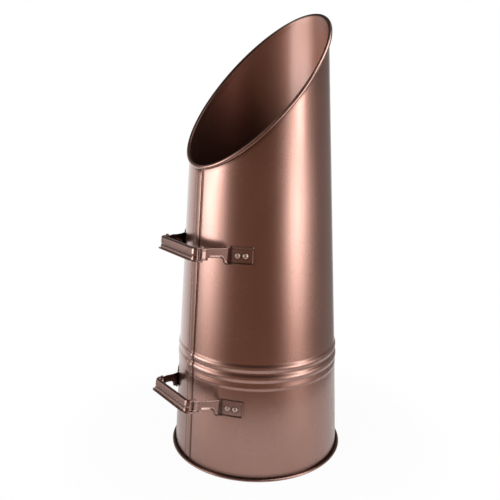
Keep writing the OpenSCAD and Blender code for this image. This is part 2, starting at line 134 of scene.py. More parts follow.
class Nodes:
    """A material's or world's node tree, built by short calls."""

    def __init__(self, tree):
        self.tree = tree
        tree.nodes.clear()

    def add(self, kind, **values):
        """A new node; each value is set as a property, or else on the input of that name."""
        node = self.tree.nodes.new(kind)
        for key, value in values.items():
            if hasattr(node, key):
                setattr(node, key, value)
            else:
                self.put(node.inputs[key.replace("_", " ")], value)
        return node

    def put(self, socket, value):
        if isinstance(value, bpy.types.NodeSocket):
            self.tree.links.new(value, socket)
        else:
            socket.default_value = value

    def math(self, operation, *values):
        node = self.add("ShaderNodeMath", operation=operation)
        for socket, value in zip(node.inputs, values):
            self.put(socket, value)
        return node.outputs[0]

    def times(self, value, factor):
        return self.math("MULTIPLY", value, factor)

    def object_point(self, scale=(1, 1, 1)):
        point = self.add("ShaderNodeTexCoord").outputs["Object"]
        node = self.add("ShaderNodeMapping")
        self.put(node.inputs["Vector"], point)
        node.inputs["Scale"].default_value = scale
        return node.outputs["Vector"]

    def noise(self, point, scale, detail, roughness=0.5):
        node = self.add("ShaderNodeTexNoise")
        self.put(node.inputs["Vector"], point)
        node.inputs["Scale"].default_value = scale
        node.inputs["Detail"].default_value = detail
        node.inputs["Roughness"].default_value = roughness
        return node.outputs["Fac"]

    def span(self, value, low, high, to_low=0.0, to_high=1.0):
        """Maps low..high smoothly to to_low..to_high."""
        node = self.add("ShaderNodeMapRange", interpolation_type="SMOOTHSTEP")
        for socket, number in zip(node.inputs, (value, low, high, to_low, to_high)):
            self.put(socket, number)
        return node.outputs[0]

    def mix(self, factor, a, b, blend="MIX"):
        """Mixes two colours; a Mix node keeps its colour sockets at inputs 6 and 7 and output 2."""
        node = self.add("ShaderNodeMix", data_type="RGBA", blend_type=blend)
        for place, value in ((0, factor), (6, a), (7, b)):
            self.put(node.inputs[place], value)
        return node.outputs[2]

    def mix_shader(self, factor, a, b):
        node = self.add("ShaderNodeMixShader")
        for socket, value in zip(node.inputs, (factor, a, b)):
            self.put(socket, value)
        return node.outputs[0]

    def surface(self, shader, kind="ShaderNodeOutputMaterial"):
        self.put(self.add(kind).inputs["Surface"], shader)

    def ramp(self, value, stops):
        """A colour ramp through stops of (position, colour)."""
        node = self.add("ShaderNodeValToRGB")
        ramp = node.color_ramp
        ramp.interpolation = "EASE"
        while len(ramp.elements) < len(stops):
            ramp.elements.new(0.5)
        for element, (place, colour) in zip(ramp.elements, stops):
            element.position = place
            element.color = (*colour, 1)
        self.put(node.inputs["Fac"], value)
        return node.outputs["Color"]

    def dot(self, vector, direction):
        node = self.add("ShaderNodeVectorMath", operation="DOT_PRODUCT")
        self.put(node.inputs[0], vector)
        node.inputs[1].default_value = direction
        return node.outputs["Value"]

    def length(self, vector):
        node = self.add("ShaderNodeVectorMath", operation="LENGTH")
        self.put(node.inputs[0], vector)
        return node.outputs["Value"]

    def attribute(self, name):
        return self.add("ShaderNodeAttribute", attribute_name=name).outputs["Fac"]


def new_material(name):
    """A material and the Nodes that fill it."""
    material = bpy.data.materials.new(name)
    material.use_nodes = True
    return material, Nodes(material.node_tree)


# ---------------------------------------------------------------- materials

# Marks on every mesh point, from 0 to 1: rubbed bright with painted highlight, painted shade, and dull as on
# the inside.
MARKS = ("wear_and_highlight", "painted_shade", "dull")

# Sizes of the noise, for the part's metres: cloudy tone, streaks drawn out along Z, and fine grain.
CLOUD_SCALE, STREAK_SCALE, GRAIN_SCALE = 16, 190, 2600
STREAK_STRETCH = (1, 1, 0.05)
STREAK_SHARE = 0.25
TONE_SPAN, GRAIN_SPAN = (0.30, 0.70), (0.5, 0.8)
# How far full grain, wear with painted highlight, and painted shade pull the colour, and what cloud and
# dullness add to the roughness.
GRAIN_TINT, WEAR_HIGHLIGHT_TINT, SHADE_TINT = 0.12, 0.45, 0.9
SHADE_COLOUR = (0.018, 0.009, 0.006, 1)
CLOUD_ROUGH, DULL_ROUGH = 0.08, 0.20
# The clear coat, what full painted shade takes off it, and the share of that a dull face counts as.
COAT_WEIGHT, COAT_IOR, COAT_LOSS, DULL_COVER = 0.9, 1.75, 0.85, 0.5
METALLIC = 0.9
BUMP_STRENGTH, BUMP_DISTANCE = 0.05, 0.0003


def satin_copper(name, base, dark, light, roughness, coat_roughness=0.16):
    """Copper lacquer on steel: fine grain, soft streaks, edges lightened with wear and painted highlight,
    painted shade in corners and creases, a duller inside.
    """
    material, n = new_material(name)
    point = n.object_point()
    cloud = n.noise(point, CLOUD_SCALE, 3)
    streak = n.noise(n.object_point(STREAK_STRETCH), STREAK_SCALE, 3)
    grain = n.noise(point, GRAIN_SCALE, 2, 0.6)
    wear_and_highlight, painted_shade, dull = [n.attribute(label) for label in MARKS]
    tone = n.math("ADD", n.times(cloud, 1 - STREAK_SHARE), n.times(streak, STREAK_SHARE))
    colour = n.mix(n.span(tone, *TONE_SPAN), (*dark, 1), (*base, 1))
    colour = n.mix(n.times(n.span(grain, *GRAIN_SPAN), GRAIN_TINT), colour, (*light, 1))
    # Lightens toward the light colour: rubbed edges and painted highlight.
    colour = n.mix(n.times(wear_and_highlight, WEAR_HIGHLIGHT_TINT), colour, (*light, 1))
    # Painted shade: darkens toward near black in corners, creases, undersides and inner faces.
    colour = n.mix(n.times(painted_shade, SHADE_TINT), colour, SHADE_COLOUR)
    rough = n.math("ADD", roughness, n.times(n.math("SUBTRACT", cloud, 0.5), CLOUD_ROUGH))
    rough = n.math("ADD", rough, n.times(dull, DULL_ROUGH))
    # Painted shade also takes off the clear coat.
    coat_cut = n.math("MAXIMUM", painted_shade, n.times(dull, DULL_COVER))
    bump = n.add("ShaderNodeBump", Height=grain)
    bump.inputs["Strength"].default_value = BUMP_STRENGTH
    bump.inputs["Distance"].default_value = BUMP_DISTANCE
    shader = n.add("ShaderNodeBsdfPrincipled")
    n.put(shader.inputs["Base Color"], colour)
    n.put(shader.inputs["Roughness"], rough)
    n.put(shader.inputs["Normal"], bump.outputs["Normal"])
    n.put(shader.inputs["Coat Weight"], n.math("SUBTRACT", COAT_WEIGHT, n.times(coat_cut, COAT_LOSS)))
    shader.inputs["Metallic"].default_value = METALLIC
    shader.inputs["Coat IOR"].default_value = COAT_IOR
    shader.inputs["Coat Roughness"].default_value = coat_roughness
    n.surface(shader.outputs[0])
    return material


def wire_steel():
    """Bare drawn steel, for the wire inside the roll."""
    material, n = new_material("wire_steel")
    point = n.object_point()
    shader = n.add("ShaderNodeBsdfPrincipled")
    shader.inputs["Metallic"].default_value = 1.0
    colour = n.mix(n.noise(point, 300, 2), (0.42, 0.41, 0.40, 1), (0.58, 0.57, 0.55, 1))
    n.put(shader.inputs["Base Color"], colour)
    n.put(shader.inputs["Roughness"], n.span(n.noise(point, 900, 2), 0.3, 0.7, 0.28, 0.42))
    n.surface(shader.outputs[0])
    return material


COPPER_SHEET = satin_copper(
    "copper_sheet", base=(0.375, 0.187, 0.143), dark=(0.345, 0.164, 0.121), light=(0.58, 0.37, 0.31),
    roughness=0.27, coat_roughness=0.21)
COPPER_FITTING = satin_copper(
    "copper_fitting", base=(0.34, 0.175, 0.142), dark=(0.26, 0.125, 0.098), light=(0.60, 0.42, 0.36),
    roughness=0.24)
COPPER_FASTENER = satin_copper(
    "copper_fastener", base=(0.46, 0.29, 0.25), dark=(0.34, 0.20, 0.16), light=(0.74, 0.58, 0.52),
    roughness=0.42, coat_roughness=0.34)
WIRE_STEEL = wire_steel()

# ---------------------------------------------------------------- mesh helpers

BODY_STEPS, FASTENER_STEPS = 288, 40
CHAMFER = 0.22


def make_piece(name, node, material, parts, sharp=32.0):
    """One object from grids of points in millimetres. It rides on the root body and stands for its node.

    A part is a grid of rows and columns with its marks. A ring joins the last column to the first, a loop
    joins the last row to the first, and caps names the rows that are closed with one face.
    """
    points, faces = [], []
    marks = {label: [] for label in MARKS}
    start = 0
    for part in parts:
        p = np.asarray(part["points"], float)
        rows, columns = p.shape[:2]
        index = np.arange(rows * columns).reshape(rows, columns) + start
        if part.get("ring"):
            index = np.hstack([index, index[:, :1]])
        if part.get("loop"):
            index = np.vstack([index, index[:1]])
        a, b, c, d = index[:-1, :-1], index[:-1, 1:], index[1:, 1:], index[1:, :-1]
        faces += np.stack([a, b, c, d], -1).reshape(-1, 4).tolist()
        for row in part.get("caps", ()):
            cap = (np.arange(columns) + start + (row % rows) * columns).tolist()
            faces.append(cap if row else cap[::-1])
        points.append(p.reshape(-1, 3))
        for label, values in marks.items():
            values.append(np.broadcast_to(part.get(label, 0.0), (rows, columns)).reshape(-1))
        start += rows * columns
    mesh = bpy.data.meshes.new(name)
    mesh.from_pydata((np.vstack(points) * MM).tolist(), [], faces)
    for label, values in marks.items():
        layer = mesh.attributes.new(label, "FLOAT", "POINT")
        layer.data.foreach_set("value", np.concatenate(values).astype(np.float32))
    finish_mesh(mesh, sharp)
    piece = bpy.data.objects.new(name, mesh)
    bpy.context.scene.collection.objects.link(piece)
    mesh.materials.append(material)
    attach(piece, "root")
    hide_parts(node)


def tube(points, wear_and_highlight=0.0, painted_shade=0.0):
    """A part made of rings, capped at both ends."""
    return {"points": points, "ring": True, "caps": (0, len(points) - 1), "wear_and_highlight": wear_and_highlight, "painted_shade": painted_shade}


def finish_mesh(mesh, sharp):
    """Turns every face outward and marks edges over the sharp angle, in degrees."""
    bm = bmesh.new()
    bm.from_mesh(mesh)
    bmesh.ops.recalc_face_normals(bm, faces=bm.faces)
    bm.to_mesh(mesh)
    bm.free()
    mesh.polygons.foreach_set("use_smooth", [True] * len(mesh.polygons))
    mesh.set_sharp_from_angle(angle=math.radians(sharp))
    mesh.update()


def revolve(profile, steps):
    """Turns a profile of (radius, height) round the Z axis."""
    a = np.linspace(0, 2 * math.pi, steps, endpoint=False)
    r, z = np.asarray(profile, float).T[..., None]
    return np.stack(np.broadcast_arrays(r * np.cos(a), r * np.sin(a), z), -1)


def arc(cx, cy, r, start, end, steps):
    """Points on a circle between two angles in degrees."""
    a = np.radians(np.linspace(start, end, steps))
    return np.stack([cx + r * np.cos(a), cy + r * np.sin(a)], -1)


def on_circle(r, degrees):
    """One point on a circle round the origin."""
    return tuple(arc(0, 0, r, degrees, degrees, 1)[0])


def smooth(x):
    """An even step from 0 to 1 without corners."""
    x = np.clip(x, 0, 1)
    return x * x * (3 - 2 * x)


# ---------------------------------------------------------------- body

RING_SPLIT = 146.0    # the rings are level up to here and then lean more and more with the mouth
SEAM_CORE = 14.0      # columns this near the seam's middle keep their distance from it at every height
FAR_COLUMNS = 130
ROWS_INSIDE, ROWS_OUTSIDE = 46, 60
BEAD_SOFT = 0.02      # rounds the foot of a bead
SEAM_CROWN, SEAM_FALL = 0.22, 0.5
GROOVE, GROOVE_AT, GROOVE_W = 0.32, 0.75, 0.7
SEAM_IN, SEAM_IN_W = 0.22, 0.5
# Painted shade in dark lines beside the seam, and a light darkening over the raised strip.
SEAM_SHADE, SEAM_STRIP_DARK, SHADE_HALF, SHADE_FADE = 0.8, 0.15, 0.35, 0.8
RIM_REACH = 6.0       # how far below the roll's middle the wall starts to bend into it
EDGE_ROUND = 0.12
# Painted shade inside the body, deepest at the bottom and gone by the long lip.
INSIDE_SHADE, INSIDE_SHADE_FROM, INSIDE_SHADE_RUN = 0.6, 300, 170
# The roll's outer face lightened by wear and painted highlight; painted shade on its inner side and in the
# tucks of the rim and base seam.
ROLL_WEAR_HIGHLIGHT, ROLL_SHADE, TUCK_SHADE = 0.3, 0.85, 0.6
# Painted shade where the wall meets the base seam; bead crests lightened by wear and painted highlight.
CORNER_SHADE, CORNER_RUN = 0.8, 1.6
CREST_WEAR_HIGHLIGHT, CREST_FROM = 0.6, 0.45


def bead(z):
    """How far the swaged beads stand out of the wall at height z."""
    arc_r = (BEAD_W ** 2 / 4 + BEAD_OUT ** 2) / (2 * BEAD_OUT)
    out = np.zeros_like(z)
    for i in range(BEAD_COUNT):
        d = np.clip(np.abs(z - BEAD_Z - i * BEAD_PITCH), 0, arc_r * 0.98)
        h = np.sqrt(arc_r ** 2 - d ** 2) - (arc_r - BEAD_OUT)
        out = out + 0.5 * (h + np.sqrt(h * h + BEAD_SOFT))
    return out


def wall_r(z):
    """Outer radius of the plain wall, without beads."""
    z = np.asarray(z, float)
    cone = CONE_R0 - CONE_SLOPE * z
    band = BASE_R - BAND_SLOPE * z
    step = smooth((z - STEP_Z + STEP_HALF) / (2 * STEP_HALF)) * STEP_IN
    fade = np.clip((BEAD_Z - z) / (BEAD_Z - STEP_Z - STEP_HALF), 0, 1)
    return np.where(z >= BEAD_Z, cone, band + step * fade)


def seam_columns():
    """Distances from the seam's middle along the wall at the base, close together at the seam's edges."""
    half = SEAM_W / 2
    near = [0, 1.6, 2.8, 3.4, 3.75, 4.0, 4.2, 4.35, 4.5]
    near += [4.65, 4.8, 5.0, 5.25, 5.5, 5.9, 6.5, 7.6, 9.4, 11.6]
    near = [half * v / 4.5 for v in near]
    far = np.linspace(SEAM_CORE, math.pi * BASE_R, FAR_COLUMNS)
    one = np.array(near + far.tolist())
    return np.concatenate([-one[:0:-1], one])[1:]


COLUMNS = seam_columns()


def column_angle(r):
    """The angle of each column at radius r; the seam keeps its width at every height."""
    size = np.abs(COLUMNS)
    core = SEAM_CORE / r
    share = (size - SEAM_CORE) / (math.pi * BASE_R - SEAM_CORE)
    angle = np.where(size <= SEAM_CORE, size / r, core + share * (math.pi - core))
    return math.pi + np.sign(COLUMNS) * angle


def inside_shade(z):
    """Painted shade on the inner face: most at the bottom, none near the long lip."""
    return INSIDE_SHADE * (1 - smooth((z - INSIDE_SHADE_FROM) / INSIDE_SHADE_RUN))


def seam_shape():
    """Height of the folded seam over the wall, and the painted shade beside it, for each column."""
    size = np.abs(COLUMNS)
    half = SEAM_W / 2
    raised = 1 - smooth((size - (half - 0.45)) / SEAM_FALL)
    groove = np.exp(-((size - (half + GROOVE_AT)) / GROOVE_W) ** 2)
    crown = SEAM_CROWN * (1 - np.clip(size / half, 0, 1) ** 2)
    height = (SEAM_OUT - SEAM_CROWN + crown) * raised - GROOVE * groove * (1 - raised)
    away = np.clip(np.abs(size - (half + GROOVE_AT)) - SHADE_HALF, 0, None)
    shade_map = SEAM_SHADE * np.exp(-(away / SHADE_FADE) ** 2)
    return height, np.maximum(shade_map, SEAM_STRIP_DARK * raised)


def rim_frame(angle):
    """Centre of the roll, and the way up along the wall square to the rim, at each angle."""
    r0 = CONE_R0 + ROLL_OFFSET

    def point(a):
        z = (MOUTH_Z + MOUTH_SLOPE * np.cos(a) * r0) / (1 + MOUTH_SLOPE * CONE_SLOPE * np.cos(a))
        r = r0 - CONE_SLOPE * z
        return np.stack([r * np.cos(a), r * np.sin(a), z], -1)

    centre = point(angle)
    along = point(angle + 1e-4) - point(angle - 1e-4)
    along /= np.linalg.norm(along, axis=-1, keepdims=True)
    lean = math.atan(CONE_SLOPE)
    normal = np.stack([
        np.cos(angle) * math.cos(lean), np.sin(angle) * math.cos(lean), np.full_like(angle, math.sin(lean))
    ], -1)
    up = np.cross(normal, along)
    up *= np.sign(up[:, 2:3])
    return centre, up


def rim_points(angle, section):
    """Sweeps a section, given as (outward, upward) from the roll's centre, along the rim on the cone."""
    centre, up = rim_frame(angle)
    lean = math.atan(CONE_SLOPE)
    rows = []
    for p, q in section:
        base = centre + q * up
        turn = np.arctan2(base[:, 1], base[:, 0])
        r = CONE_R0 + ROLL_OFFSET - CONE_SLOPE * base[:, 2] + p * math.cos(lean)
        height = base[:, 2] + p * math.sin(lean)
        rows.append(np.stack([r * np.cos(turn), r * np.sin(turn), height], -1))
    return np.array(rows)


def ring(z, offset):
    """A level ring of wall points at height z, moved out by offset for each column."""
    r = float(wall_r(z) + bead(np.array([z]))[0]) + offset
    angle = column_angle(float(wall_r(z)))
    return np.stack([r * np.cos(angle), r * np.sin(angle), np.full_like(angle, z)], -1)


def body_heights():
    """Heights of the level rings, from the base seam up to a little over the beads."""
    low = np.linspace(HEM_H + 0.6, STEP_Z - 4, 24)
    beads_end = BEAD_Z + (BEAD_COUNT - 1) * BEAD_PITCH + BEAD_W / 2
    fine = np.arange(STEP_Z - 3, beads_end + 2.5, 0.55)
    return np.concatenate([low, fine, [RING_SPLIT - 3, RING_SPLIT]])


def wall_between(lower, upper, rows):
    """Rows of points on the cone between a level ring and the sloping ring under the rim."""

    def polar(p):
        return np.unwrap(np.arctan2(p[:, 1], p[:, 0])), p[:, 2], np.hypot(p[:, 0], p[:, 1])

    a0, z0, r0 = polar(lower)
    a1, z1, r1 = polar(upper)
    a1 = a1 + 2 * math.pi * np.round((a0 - a1) / (2 * math.pi))
    out = []
    for s in np.linspace(0, 1, rows + 2)[1:-1]:
        a = a0 + (a1 - a0) * s
        z = z0 + (z1 - z0) * s
        r = r0 + (r1 - r0) * s
        out.append(np.stack([r * np.cos(a), r * np.sin(a), z], -1))
    return out


def make_body():
    """The sheet as one closed band of rings: up the inner face, round the wire, down the outer face."""
    seam, shade_map = seam_shape()
    heights = body_heights()
    rim_angle = column_angle(float(wall_r((LIP_H + BACK_H) / 2)))
    outside = -ROLL_OFFSET
    inside = outside - SHEET
    seam_in = -SEAM_IN * np.exp(-((COLUMNS - SEAM_W / 2) / SEAM_IN_W) ** 2)
    flange_r = HEM_R - PAN_T - HEM_GAP
    foot_z = PAN_T + HEM_GAP
    rows = []
    marks = {label: [] for label in MARKS}

    def add(points, wear_and_highlight=0.0, painted_shade=0.0, dull=0.0):
        rows.append(points)
        for values, value in zip(marks.values(), (wear_and_highlight, painted_shade, dull)):
            values.append(np.broadcast_to(value, len(COLUMNS)))

    def flat_ring(r, z):
        angle = column_angle(BASE_R)
        add(np.stack([r * np.cos(angle), r * np.sin(angle), np.full_like(angle, z)], -1), painted_shade=TUCK_SHADE)

    # the wall's inner face, from the floor up, with painted shade deepest low down
    flat_ring(BASE_R - SHEET, foot_z)
    for z in heights:
        add(ring(z, -SHEET + seam_in), painted_shade=INSIDE_SHADE, dull=1)
    inner_top = rim_points(rim_angle, [(inside, -RIM_REACH)])[0]
    for points in wall_between(rows[-1], inner_top, ROWS_INSIDE):
        add(points, painted_shade=inside_shade(points[:, 2]), dull=1)

    # round the wire: the roll lightened outside with wear and painted highlight, painted shade on its inner
    # side, on the cut edge and in the tuck under it
    blend = [(inside - ROLL_SWELL * float(smooth((RIM_REACH + q) / RIM_REACH)), q)
             for q in np.linspace(-RIM_REACH, -0.6, 8)]
    for points in rim_points(rim_angle, blend):
        add(points, painted_shade=inside_shade(points[:, 2]), dull=1)
    roll = arc(0, 0, ROLL_R, 172, -108, 26).tolist()
    for (p, _), points in zip(roll, rim_points(rim_angle, roll)):
        outer = float(smooth((p / ROLL_R - 0.1) / 0.5))
        add(points, ROLL_WEAR_HIGHLIGHT * outer, ROLL_SHADE * (1 - outer), 1 - outer)
    edge = [on_circle(ROLL_R - EDGE_ROUND, -111), on_circle(ROLL_R - SHEET + EDGE_ROUND, -112),
            on_circle(ROLL_R - SHEET, -118), (outside, -0.9)]
    for points in rim_points(rim_angle, edge):
        add(points, painted_shade=1)
    tuck = [(outside, -1.7), (outside, -2.3), (outside, -3.2)]
    for rise, shade, points in zip((0.0, 0.1, 0.55), (1.0, 0.8, 0.35), rim_points(rim_angle, tuck)):
        add(push_out(points, seam * rise), painted_shade=np.maximum(shade, shade_map))

    # the wall's outer face, down to the flange in the base seam, with painted shade beside the seam and at
    # the foot, and bead crests lightened by wear and painted highlight
    outer_top = push_out(rim_points(rim_angle, [(outside, -RIM_REACH)])[0], seam)
    add(outer_top, painted_shade=shade_map)
    outer_low = ring(heights[-1], seam)
    for points in wall_between(outer_low, outer_top, ROWS_OUTSIDE)[::-1]:
        add(points, painted_shade=shade_map)
    for z in heights[::-1]:
        crest = float(bead(np.array([z]))[0]) / BEAD_OUT
        corner = CORNER_SHADE * math.exp(-(z - heights[0]) / CORNER_RUN)
        wear_and_highlight = CREST_WEAR_HIGHLIGHT * max(0.0, crest - CREST_FROM) / (1 - CREST_FROM)
        add(ring(z, seam), wear_and_highlight, np.maximum(shade_map, corner))
    flat_ring(BASE_R + 0.1, HEM_H - 0.4)
    flat_ring(BASE_R + 0.02, foot_z + SHEET + 0.6)
    flat_ring(BASE_R + 0.6, foot_z + SHEET)
    flat_ring(flange_r, foot_z + SHEET)
    flat_ring(flange_r, foot_z)

    part = {"points": np.array(rows), "ring": True, "loop": True}
    part.update({label: np.array(values) for label, values in marks.items()})
    make_piece("body", "body_shell", COPPER_SHEET, [part], sharp=50)


def push_out(points, offset):
    """Moves points outward from the axis by offset."""
    r = np.hypot(points[:, 0], points[:, 1])
    scale = (r + offset) / r
    return np.stack([points[:, 0] * scale, points[:, 1] * scale, points[:, 2]], -1)


def make_base():
    """The pan: a pressed disc whose edge is folded round the body's flange."""
    half = HEM_H / 2
    slot = SHEET + 2 * HEM_GAP
    low, high = RIB_R - RIB_W / 2, RIB_R + RIB_W / 2

    def rib(base):
        """The ring pressed up into the pan, over a face at height base."""
        r = np.concatenate([np.linspace(low - 1.5, low + RIB_H + 1.5, 9),
                            np.linspace(high - RIB_H - 1.5, high + 1.5, 9)])
        rise = smooth((r - low) / RIB_H) * smooth((high - r) / RIB_H) * RIB_H
        return [(float(a), float(base + b)) for a, b in zip(r, rise)]

    fold_in, fold_top = HEM_R - PAN_T, PAN_T + slot
    under = [(r, 0.0) for r in (1.0, 18, 36, 50)] + rib(0.0) + [(80, 0.0), (92, 0.0)]
    fold = arc(HEM_R - half, half, half, -90, 90, 15).tolist()
    gap = [
        (BASE_R + 1.4, HEM_H), (BASE_R + 0.55, HEM_H - 0.1), (BASE_R + 0.3, HEM_H - 0.35),
        (BASE_R + 0.3, fold_top), (fold_in - 0.4, fold_top), (fold_in, fold_top - 0.4),
        (fold_in, PAN_T + 0.4), (fold_in - 0.4, PAN_T), (96, PAN_T)
    ]
    top = [(84, PAN_T)] + rib(PAN_T)[::-1] + [(r, PAN_T) for r in (50, 36, 18, 1.0)]
    outline = under + fold + gap + top
    lengths = [len(under), len(fold), len(gap), len(top)]
    # Hem lightened by wear and painted highlight; painted shade under the pan and in the fold's slot, inside
    # shade on its top.
    wear_and_highlight = 0.5 * (np.array(outline)[:, :1] > HEM_R - 1.2)
    painted_shade = np.repeat([0.2, 0.0, 0.8, INSIDE_SHADE], lengths)[:, None]
    dull = np.repeat([0.0, 0.0, 0.0, 1.0], lengths)[:, None]
    part = tube(revolve(outline, BODY_STEPS), wear_and_highlight, painted_shade)
    part["dull"] = dull
    make_piece("base", "base_pan", COPPER_SHEET, [part], sharp=40)


# ---------------------------------------------------------------- handles

FOLD_ROOM, FOLD_ROWS = 2.4, 7
# Painted shade on the lugs' fold and arms, darker on the upper handle's arms.
FOLD_SHADE, UPPER_SHADE, LOWER_SHADE = 0.6, 0.5, 0.1
FLARE_TURN, FLARE_R, FLARE_RUN, FLARE_TIP, FLARE_ROOT = 50, 1.4, 1.9, 0.25, 1.1
EAR_CHAMFER = 0.2
PIN_EDGE, RIVET_EDGE = 0.18, 0.2


class Handle:
    """Places points of one handle: on the wall, in its own rising plane and along its arms."""

    def __init__(self, z, rise, painted_shade):
        self.z = z
        self.rise = rise
        self.painted_shade = painted_shade
        self.slope = CONE_SLOPE if z > BEAD_Z else BAND_SLOPE
        self.fold_r = float(wall_r(z)) + PLATE_GAP + LUG_T / 2
        self.fold_a = math.asin(FOLD_SPAN / 2 / self.fold_r)

    def plane(self, x, y, z):
        """A point of the handle's plane: x out from the folds, y to the side, z up."""
        x0 = self.fold_r * math.cos(self.fold_a)
        out = x0 + x * math.cos(self.rise) - z * math.sin(self.rise)
        height = self.z + x * math.sin(self.rise) + z * math.cos(self.rise)
        return np.stack(np.broadcast_arrays(out, y, height), -1)

    def arm(self, s, y, z):
        """A point of the arm: s along it from the fold, y away from the hand, z up."""
        c, k = math.cos(TOE), math.sin(TOE)
        return self.plane(s * c + y * k, FOLD_SPAN / 2 - s * k + y * c, z)

    def plate(self, s, lift, z):
        """A point on the riveted plate: s along the wall from the fold, lift off its middle layer, z up."""
        angle = self.fold_a + s / self.fold_r
        r = self.fold_r - self.slope * z + lift
        return np.stack(np.broadcast_arrays(r * np.cos(angle), r * np.sin(angle), self.z + z), -1)

    @staticmethod
    def seat(points, side):
        """Into the part's frame, where the handles are on -X."""
        p = np.array(points, float)
        p[..., 0] *= -1
        p[..., 1] *= side
        return p


def circle_r(chord, h):
    """Radius of the circle whose arc over a chord rises by h."""
    return (chord * chord / 4 + h * h) / (2 * h)


def waist_path(steps=16, foot_steps=9):
    """The free edge of the arm's flare, from the fold to the foot.

    Gives points as (along the arm, up) and the normals that point into the sheet.
    """
    turns = np.linspace(0, math.asin(WAIST_RUN / 2 / WAIST_R), steps)
    angles = np.concatenate([[0], turns, turns[-2::-1], np.zeros(foot_steps)])
    normals = np.stack([-np.sin(angles), np.cos(angles)], -1)
    points = np.zeros_like(normals)
    points[0] = (WAIST_X0 - LAP, -LUG_H / 2)
    down, up = slice(1, steps + 1), slice(steps + 1, 2 * steps)
    points[down] = (WAIST_X0, WAIST_R - LUG_H / 2) - WAIST_R * normals[down]
    points[up] = (WAIST_X1, WAIST_Z - WAIST_R) + WAIST_R * normals[up]
    level = np.linspace((WAIST_X1, WAIST_Z), (FOOT_X - FOOT_R + LAP, WAIST_Z), foot_steps + 1)
    points[2 * steps:] = level[1:]
    return points, normals


WAIST_POINTS, WAIST_NORMALS = waist_path()


def arm_edges(s):
    """Lower and upper edge of the arm's flat sheet at distance s from the fold, above the flare."""
    bend = WAIST_POINTS + WAIST_NORMALS * (ARM_LIP - 0.1)
    low = np.interp(s, bend[:, 0], bend[:, 1])
    foot = FOOT_X - FOOT_R
    drop = WAIST_Z - FOOT_R + np.sqrt(np.maximum(FOOT_R ** 2 - np.clip(s - foot, 0, None) ** 2, 0))
    low = np.where(s > foot + 0.02, drop, low)
    low = np.where(s > FOOT_X + 0.005, -ARM_END_H / 2, low)
    low = np.where(s < WAIST_X0 - LAP / 2, -LUG_H / 2, low)
    span = NOTCH_X - WAIST_X0
    top_r = circle_r(span, WAIST_TOP)
    d = np.clip(np.abs(s - (NOTCH_X + WAIST_X0) / 2), 0, span / 2)
    top = (LUG_H + ARM_END_H) / 4 - WAIST_TOP + top_r - np.sqrt(top_r ** 2 - d ** 2)
    return low, np.minimum(top, (LUG_H + (ARM_END_H - LUG_H) * s / NOTCH_X) / 2)


def make_lug(name, handle, side):
    """Riveted plate, fold and waisted arm as one sheet, then the flared lower edge and the two eyes."""
    foot = FOOT_X - FOOT_R
    plate_s = np.concatenate([
        np.linspace(0, PLATE_CORNER, 7), np.linspace(PLATE_CORNER, PLATE_L - FOLD_ROOM, 34)[1:]
    ])
    arm_s = np.concatenate([
        [1.0, 1.1], np.linspace(1.25, WAIST_X1, 24), np.linspace(WAIST_X1, foot, 8)[1:],
        foot + 0.03 + (FOOT_R - 0.03) * np.sin(np.linspace(0, math.pi / 2, 10)),
        [FOOT_X + 0.01, FOOT_X + 0.7, NOTCH_X - 0.6, NOTCH_X]
    ])
    t = np.concatenate([
        np.linspace(0, 0.24, 9), np.linspace(0.24, 0.76, 15)[1:], np.linspace(0.76, 1, 9)[1:]
    ])

    def half_height(run):
        """Half height of the plate at a distance from its far end, with rounded corners."""
        gap = np.clip(PLATE_CORNER - run, 0, PLATE_CORNER)
        return LUG_H / 2 - PLATE_CORNER + math.sqrt(max(PLATE_CORNER ** 2 - gap ** 2, 0))

    def panel(run, z):
        """Depth of the panel inside the raised border."""
        along = smooth((run - BORDER_W + 0.35) / 0.7)
        return PANEL_D * (along * smooth((LUG_H / 2 - BORDER_W + 0.35 - np.abs(z)) / 0.7))

    # rows of the sheet as (kind, place along it, heights, depth of the panel)
    mids = []
    for run in plate_s:
        half = half_height(max(run, 0.02))
        z = -half + 2 * half * t
        mids.append(("plate", PLATE_L - run, z, panel(run, z)))
    mids += [("fold", None, None, None)] * FOLD_ROWS
    for s in arm_s:
        low, high = arm_edges(s)
        mids.append(("arm", s, low + (high - low) * t, None))

    def layer(offset, sunk):
        """One face of the sheet; the fold's rows are curves from the plate's last row to the arm's first."""
        out = []
        for kind, s, z, depth in mids:
            if kind == "plate":
                out.append(handle.plate(s, offset - (depth if sunk else 0), z))
            else:
                out.append(handle.arm(s, offset, z) if kind == "arm" else None)
        first = len(plate_s) - 1
        last = first + FOLD_ROWS + 1
        a, b = out[first], out[last]
        da = a - out[first - 1]
        db = out[last + 1] - b
        da /= np.linalg.norm(da, axis=-1, keepdims=True)
        db /= np.linalg.norm(db, axis=-1, keepdims=True)
        pull = np.linalg.norm(b - a, axis=-1, keepdims=True) * 0.42
        for i in range(first + 1, last):
            u = (i - first) / (last - first)
            out[i] = ((1 - u) ** 3 * a + 3 * u * (1 - u) ** 2 * (a + pull * da)
                      + 3 * u * u * (1 - u) * (b - pull * db) + u ** 3 * b)
        return handle.seat(out, side)

    outer = layer(LUG_T / 2, True)
    inner = layer(-LUG_T / 2, False)
    parts = [closed_sheet(outer, inner, lug_shade(mids, t, handle.painted_shade)), arm_flare(handle, side)]
    parts += [eye_strip(handle, side, end) for end in (-1, 1)]
    make_piece(name + "_lug_skin", name + "_lug", COPPER_FITTING, parts, sharp=30)


